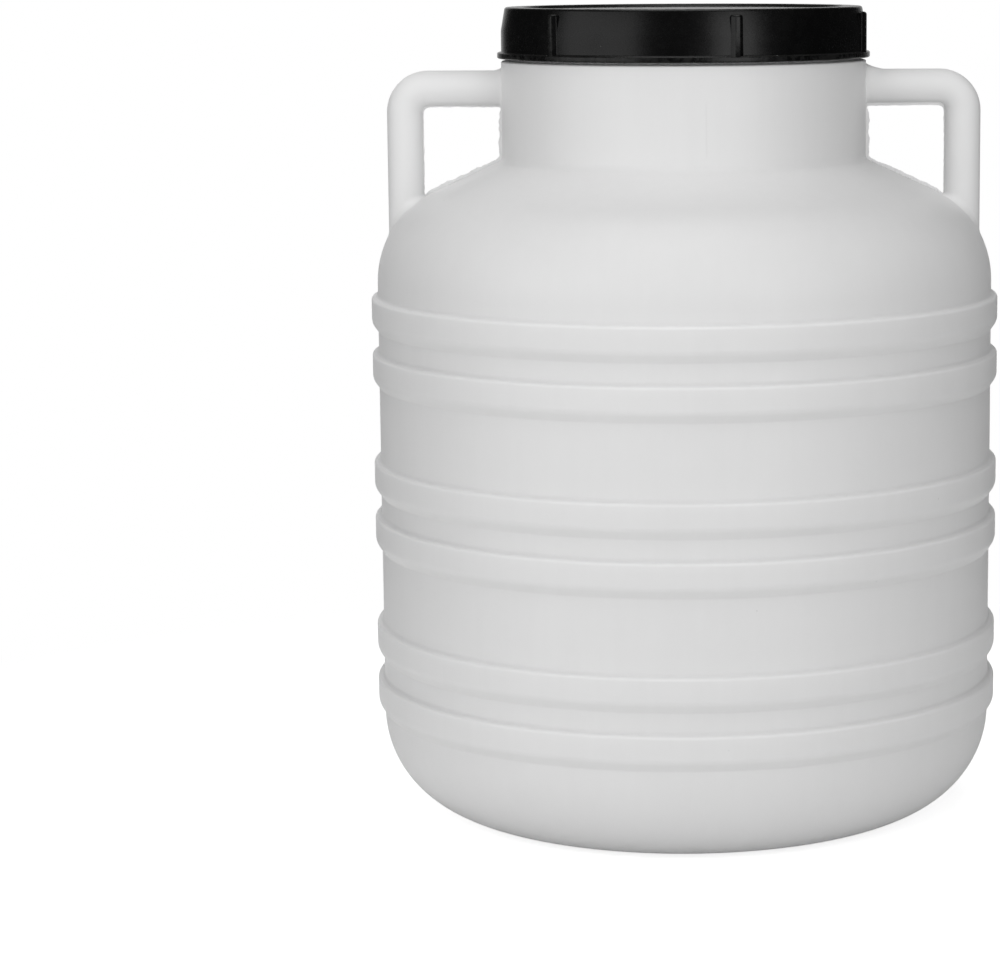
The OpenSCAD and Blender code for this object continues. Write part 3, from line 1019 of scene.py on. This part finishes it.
class BARREL_OT_gasket(bpy.types.Operator):
    """Builds the sealing gasket with its beads"""

    bl_idname = "barrel.make_gasket"
    bl_label = "Gasket"

    def execute(self, context):
        g = context.scene.barrel_gasket
        finish = gasket_rubber(context.scene.barrel_finishes)
        low, high = g.low_z, g.high_z
        face_low, face_high = low + g.bead_h, high - g.bead_h
        wide = g.outer_r - g.inner_r
        beads = [g.inner_r + wide * k for k in (0.22, 0.5, 0.78)]
        half, edge, foot, tip = 0.09 * wide, 0.4 * MM, 0.15 * MM, 0.2 * MM

        def bead(r, face, crest):
            return [(r - half, face, foot), (r, crest, tip), (r + half, face, foot)]

        path = [(g.inner_r, (low + high) / 2), (g.inner_r, face_low, edge)]
        for r in beads:
            path += bead(r, face_low, low)
        path += [(g.outer_r, face_low, edge), (g.outer_r, face_high, edge)]
        for r in reversed(beads):
            path += bead(r, face_high, high)[::-1]
        path += [(g.inner_r, face_high, edge), (g.inner_r, (low + high) / 2)]
        gasket = turned("sealing_gasket", rounded(path, 30.0), finish, columns=160)
        cleaned(gasket)
        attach(gasket, "seal")
        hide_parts("lid_gasket")
        return {"FINISHED"}


# Finishes


def new_finish(name):
    """A material with its nodes, its shader and the object's own coordinates."""
    material = bpy.data.materials.new(name)
    material.use_nodes = True
    nodes = Nodes(material.node_tree)
    shader = material.node_tree.nodes["Principled BSDF"]
    place = nodes.node("ShaderNodeTexCoord").outputs["Object"]
    return material, nodes, shader, place


def tinted(rgb, factor):
    """A colour made lighter or darker, with its alpha."""
    return (*(min(1.0, c * factor) for c in rgb), 1.0)


def mixed(nodes, share_, a, b):
    """Colour a where share_ is 0 and b where it is 1."""
    return nodes("ShaderNodeMix", share_, a, b, data_type="RGBA")


def specks(nodes, place, cell, size, kept):
    """1 on a few small round specks, of about the given size, one to a cell of the given width at most."""
    cells = nodes.node("ShaderNodeTexVoronoi", feature="F1")
    nodes.put(place, cells.inputs["Vector"])
    cells.inputs["Scale"].default_value = 1.0 / cell
    near = nodes.ramp(cells.outputs["Distance"], 0.6 * size / cell, size / cell, 1.0, 0.0)
    pick = nodes("ShaderNodeSeparateColor", cells.outputs["Color"])
    chosen = nodes.math("LESS_THAN", pick, kept)
    return nodes.times(near, chosen)


def bumped(nodes, shader, *layers):
    """Stacks bump layers of (height, distance) under the shader's normal."""
    normal = None
    for height, distance in layers:
        bump = nodes.node("ShaderNodeBump")
        bump.inputs["Strength"].default_value = 1.0
        bump.inputs["Distance"].default_value = distance
        nodes.put(height, bump.inputs["Height"])
        nodes.put(normal, bump.inputs["Normal"])
        normal = bump.outputs["Normal"]
    nodes.put(normal, shader.inputs["Normal"])


def flow_line(nodes, parts, waver):
    """1 along a faint upright line down the front of the neck, where two streams of plastic met."""
    beside, half_width = 12 * MM, 0.45 * MM
    shift = nodes.math("MULTIPLY_ADD", waver, 0.8 * MM, parts["X"])
    line = nodes.bell(nodes.math("DIVIDE", nodes.math("SUBTRACT", shift, beside), half_width))
    low = nodes.ramp(parts["Z"], 360 * MM, 364 * MM)
    high = nodes.ramp(parts["Z"], 386 * MM, 393 * MM, 1.0, 0.0)
    front = nodes.math("LESS_THAN", parts["Y"], 0.0)
    return nodes.times(line, front, nodes.times(low, high))


def barrel_plastic(f):
    """Natural white polyethylene: satin, faintly clouded and streaked, with specks and a scuffed foot."""
    material, nodes, shader, place = new_finish("barrel_plastic")
    parts = nodes.node("ShaderNodeSeparateXYZ", place)
    stretched = nodes.vector("MULTIPLY", place, (1.0, 1.0, 0.06))
    cloud = nodes.noise(place, 60 * MM, 3.0)
    streak = nodes.noise(stretched, 7 * MM, 3.0, 0.6)
    grain = nodes.noise(place, 1.1 * MM, 2.0)
    peel = nodes.noise(place, 5 * MM, 1.0)
    tone = nodes.math("MULTIPLY_ADD", streak, 0.5, nodes.times(cloud, 0.5))
    body = mixed(nodes, nodes.ramp(tone, 0.3, 0.7), tinted(f.barrel, 0.985), tinted(f.barrel, 1.0))
    dots = specks(nodes, place, 16 * MM, 0.35 * MM, 0.35)
    body = mixed(nodes, nodes.times(dots, 0.55), body, tinted(f.barrel, 0.35))
    low = nodes.ramp(parts.outputs["Z"], 1 * MM, 16 * MM, 1.0, 0.0)
    scuff = nodes.ramp(nodes.noise(place, 9 * MM, 6.0, 0.7), 0.5, 0.75)
    body = mixed(nodes, nodes.times(low, scuff, 0.4), body, tinted(f.barrel, 0.55))
    line = flow_line(nodes, parts.outputs, peel)
    body = mixed(nodes, nodes.times(line, 0.07), body, tinted(f.barrel, 0.5))
    nodes.put(body, shader.inputs["Base Color"])
    worn = nodes.math("MULTIPLY_ADD", nodes.noise(place, 18 * MM, 4.0, 0.6), 0.16, f.barrel_roughness - 0.08)
    nodes.put(worn, shader.inputs["Roughness"])
    shader.inputs["IOR"].default_value = 1.5
    shader.inputs["Subsurface Weight"].default_value = 1.0
    shader.inputs["Subsurface Radius"].default_value = (1.0, 1.0, 1.0)
    shader.inputs["Subsurface Scale"].default_value = 2 * MM
    bumped(nodes, shader, (line, 0.05 * MM), (streak, 0.02 * MM), (peel, 0.03 * MM), (grain, 0.012 * MM))
    return material


def lid_plastic(f, l):
    """Black satin plastic, mottled, with dust on the top and the ledges, pale specks and worn rib edges."""
    material, nodes, shader, place = new_finish("lid_plastic")
    parts = nodes.node("ShaderNodeSeparateXYZ", place)
    flat = nodes.vector("MULTIPLY", place, (1.0, 1.0, 0.0))
    radius = nodes.vector("LENGTH", flat)
    facing = nodes.node("ShaderNodeNewGeometry").outputs["Normal"]
    upward = nodes.node("ShaderNodeSeparateXYZ", facing).outputs["Z"]
    mottle = nodes.noise(place, 4 * MM, 5.0, 0.65)
    cloud = nodes.noise(place, 22 * MM, 4.0, 0.6)
    grain = nodes.noise(place, 0.8 * MM, 2.0)
    skirt_r = l.flange_r - l.flange_proud
    proud = nodes.ramp(radius, skirt_r + 0.9 * MM, skirt_r + 2.0 * MM)
    worn = nodes.times(proud, nodes.ramp(mottle, 0.42, 0.62))
    settled = nodes.times(nodes.ramp(upward, 0.3, 0.95), nodes.ramp(cloud, 0.2, 0.85, 0.05, 0.12))
    film = nodes.ramp(nodes.times(mottle, cloud), 0.18, 0.42, 0.0, 0.01)
    dust = nodes.math("MAXIMUM", nodes.math("MAXIMUM", settled, film), nodes.times(worn, 0.06))
    body = mixed(nodes, dust, tinted(f.lid, 1.0), tinted(f.dust, 1.0))
    dots = specks(nodes, place, 9 * MM, 0.3 * MM, 0.4)
    body = mixed(nodes, nodes.times(dots, 0.8), body, tinted(f.dust, 2.5))
    nodes.put(body, shader.inputs["Base Color"])
    rough = nodes.math("MULTIPLY_ADD", mottle, 0.08, f.lid_roughness - 0.04)
    rough = nodes.math("MULTIPLY_ADD", dust, 0.35, rough)
    nodes.put(rough, shader.inputs["Roughness"])
    shader.inputs["IOR"].default_value = 1.49
    shader.inputs["Specular IOR Level"].default_value = 0.3
    bumped(nodes, shader, (cloud, 0.06 * MM), (mottle, 0.025 * MM), (grain, 0.015 * MM))
    return material


def gasket_rubber(f):
    """Pale matt rubber with a fine bloom."""
    material, nodes, shader, place = new_finish("gasket_rubber")
    bloom = nodes.noise(place, 6 * MM, 4.0, 0.6)
    grain = nodes.noise(place, 0.7 * MM, 2.0)
    body = mixed(nodes, nodes.ramp(bloom, 0.35, 0.7), tinted(f.gasket, 0.9), tinted(f.gasket, 1.0))
    nodes.put(body, shader.inputs["Base Color"])
    nodes.put(nodes.math("MULTIPLY_ADD", bloom, 0.2, 0.5), shader.inputs["Roughness"])
    bumped(nodes, shader, (bloom, 0.05 * MM), (grain, 0.015 * MM))
    return material


# Stage


def behind(nodes, depth, start, end):
    """0 on the camera's side of the barrel and 1 behind it, along +Y."""
    return nodes.ramp(nodes.node("ShaderNodeSeparateXYZ", depth).outputs["Y"], start, end)


def studio_world(v):
    """A surround that lights softly, shows as plain white, and looks dim in gloss on the camera's side."""
    world = bpy.data.worlds.new("studio_world")
    bpy.context.scene.world = world
    world.use_nodes = True
    nodes = Nodes(world.node_tree)
    back = world.node_tree.nodes["Background"]
    back.inputs["Color"].default_value = (1.0, 1.0, 1.0, 1.0)
    path = nodes.node("ShaderNodeLightPath").outputs
    passed = nodes.math("MAXIMUM", path["Is Glossy Ray"], path["Is Transmission Ray"])
    away = nodes.node("ShaderNodeTexCoord").outputs["Generated"]
    gloss = nodes("ShaderNodeMix", behind(nodes, away, 0.88, 1.0), v.front, 1.0, data_type="FLOAT")
    soft = nodes("ShaderNodeMix", behind(nodes, away, -1.0, 0.0), v.fill, v.sky, data_type="FLOAT")
    level = nodes("ShaderNodeMix", passed, soft, gloss, data_type="FLOAT")
    level = nodes("ShaderNodeMix", path["Is Camera Ray"], level, 1.0, data_type="FLOAT")
    nodes.put(level, back.inputs["Strength"])


def floor_finish(v):
    """A pale floor that keeps the shadow near the barrel and fades to white away from it."""
    material = bpy.data.materials.new("studio_floor")
    material.use_nodes = True
    tree = material.node_tree
    nodes = Nodes(tree)
    tree.nodes.remove(tree.nodes["Principled BSDF"])
    place = nodes.node("ShaderNodeTexCoord").outputs["Object"]
    grain = nodes.noise(place, 30 * MM, 3.0)
    paint = mixed(nodes, grain, tinted(v.floor, 0.995), tinted(v.floor, 1.0))
    matt = nodes("ShaderNodeBsdfDiffuse", paint)
    path = nodes.node("ShaderNodeLightPath").outputs
    passed = nodes.math("MAXIMUM", path["Is Glossy Ray"], path["Is Transmission Ray"])
    passed = nodes.times(passed, behind(nodes, place, 0.1, 0.4))
    seen = nodes.math("MAXIMUM", path["Is Camera Ray"], passed)
    lift = nodes("ShaderNodeEmission", (1.0, 1.0, 1.0, 1.0), nodes.times(seen, v.lift))
    near = nodes("ShaderNodeAddShader", matt, lift)
    white = nodes("ShaderNodeEmission", (1.0, 1.0, 1.0, 1.0), 1.0)
    away = nodes.ramp(nodes.vector("LENGTH", place), 0.45 * v.floor_r, 0.95 * v.floor_r)
    away = nodes.times(away, seen)
    both = nodes("ShaderNodeMixShader", away, near, white)
    tree.links.new(both, tree.nodes["Material Output"].inputs["Surface"])
    return material


def softbox(name, place, target, wide, tall, power):
    """A rectangular lamp turned towards a point."""
    lamp = bpy.data.lights.new(name, "AREA")
    lamp.shape = "RECTANGLE"
    lamp.size, lamp.size_y, lamp.energy = wide, tall, power
    obj = bpy.data.objects.new(name, lamp)
    obj.location = place
    obj.rotation_euler = (Vector(target) - Vector(place)).to_track_quat("-Z", "Y").to_euler()
    bpy.context.scene.collection.objects.link(obj)
    return obj


def studio_camera(v):
    """A camera at the eye point, turned by pitch and roll, with the barrel right of the frame's middle."""
    ahead = Vector((0.0, math.cos(v.pitch), -math.sin(v.pitch)))
    right = Vector((1.0, 0.0, 0.0))
    up = right.cross(ahead)
    level, tilt = math.cos(v.roll), math.sin(v.roll)
    axes = Matrix((right * level + up * tilt, up * level - right * tilt, -ahead)).transposed()
    lens = bpy.data.cameras.new("studio_camera")
    lens.lens, lens.sensor_width = v.lens, 36.0
    lens.shift_x = v.shift
    lens.clip_start, lens.clip_end = 0.05, 200.0
    camera = bpy.data.objects.new("studio_camera", lens)
    camera.matrix_world = Matrix.Translation(v.eye) @ axes.to_4x4()
    bpy.context.scene.collection.objects.link(camera)
    bpy.context.scene.camera = camera


# Name, place, target, width and height of each lamp
SOFTBOXES = (
    ("left", (-1.36, -1.60, 0.60), (0.0, 0.0, 0.25), 1.0, 1.5),
    ("side", (-1.95, -0.79, 0.60), (0.0, 0.0, 0.25), 1.0, 1.5),
    ("right", (1.10, -1.78, 0.60), (0.0, 0.0, 0.25), 1.0, 1.5),
    ("top", (0.0, -0.35, 2.1), (0.0, 0.0, 0.3), 1.6, 1.2),
    ("back", (-0.55, 1.30, 1.40), (0.0, 0.0, 0.35), 0.9, 0.9),
)


class BARREL_OT_stage(bpy.types.Operator):
    """Sets up the floor, the soft light and the camera"""

    bl_idname = "barrel.make_stage"
    bl_label = "Stage"

    def execute(self, context):
        v = context.scene.barrel_studio
        around = np.linspace(0, TURN, 128, endpoint=False)
        edge = [(v.floor_r * math.cos(a), v.floor_r * math.sin(a), 0.0) for a in around]
        floor = new_object("studio_floor", edge, [range(len(edge))])
        floor.data.materials.append(floor_finish(v))
        studio_world(v)
        for name, *layout in SOFTBOXES:
            lamp = softbox(f"{name}_softbox", *layout, getattr(v, f"{name}_lamp"))
            # The top of the lid is seen almost edge on, where the back lamp would glare
            lamp.visible_glossy = name != "back"
        studio_camera(v)
        context.scene.view_settings.view_transform = "Standard"
        return {"FINISHED"}


# Panel and registration

GROUPS = (
    ("barrel_shell", BarrelShellSizes),
    ("barrel_handles", BarrelHandleSizes),
    ("barrel_thread", BarrelThreadSizes),
    ("barrel_lid", BarrelLidSizes),
    ("barrel_gasket", BarrelGasketSizes),
    ("barrel_finishes", BarrelFinishes),
    ("barrel_studio", BarrelStudio),
)
OPERATORS = (BARREL_OT_shell, BARREL_OT_lid, BARREL_OT_gasket, BARREL_OT_stage)


class BARREL_PT_panel(bpy.types.Panel):
    """Lists the barrel's pieces and sizes"""

    bl_idname = "BARREL_PT_panel"
    bl_label = "Fermentation Barrel"
    bl_space_type = "VIEW_3D"
    bl_region_type = "UI"
    bl_category = "Barrel"

    def draw(self, context):
        for operator in OPERATORS:
            self.layout.operator(operator.bl_idname)
        for name, group in GROUPS:
            box = self.layout.box()
            for key in group.__annotations__:
                box.prop(getattr(context.scene, name), key)


def register():
    for name, group in GROUPS:
        bpy.utils.register_class(group)
        setattr(bpy.types.Scene, name, bpy.props.PointerProperty(type=group))
    for operator in OPERATORS:
        bpy.utils.register_class(operator)
    bpy.utils.register_class(BARREL_PT_panel)


def unregister():
    bpy.utils.unregister_class(BARREL_PT_panel)
    for operator in reversed(OPERATORS):
        bpy.utils.unregister_class(operator)
    for name, group in reversed(GROUPS):
        delattr(bpy.types.Scene, name)
        bpy.utils.unregister_class(group)


def main():
    register()
    turned_tree()
    thread_tree()
    ring_tree()
    bpy.ops.barrel.make_stage()
    bpy.ops.barrel.make_shell()
    bpy.ops.barrel.make_lid()
    bpy.ops.barrel.make_gasket()


if __name__ == "__main__":
    main()
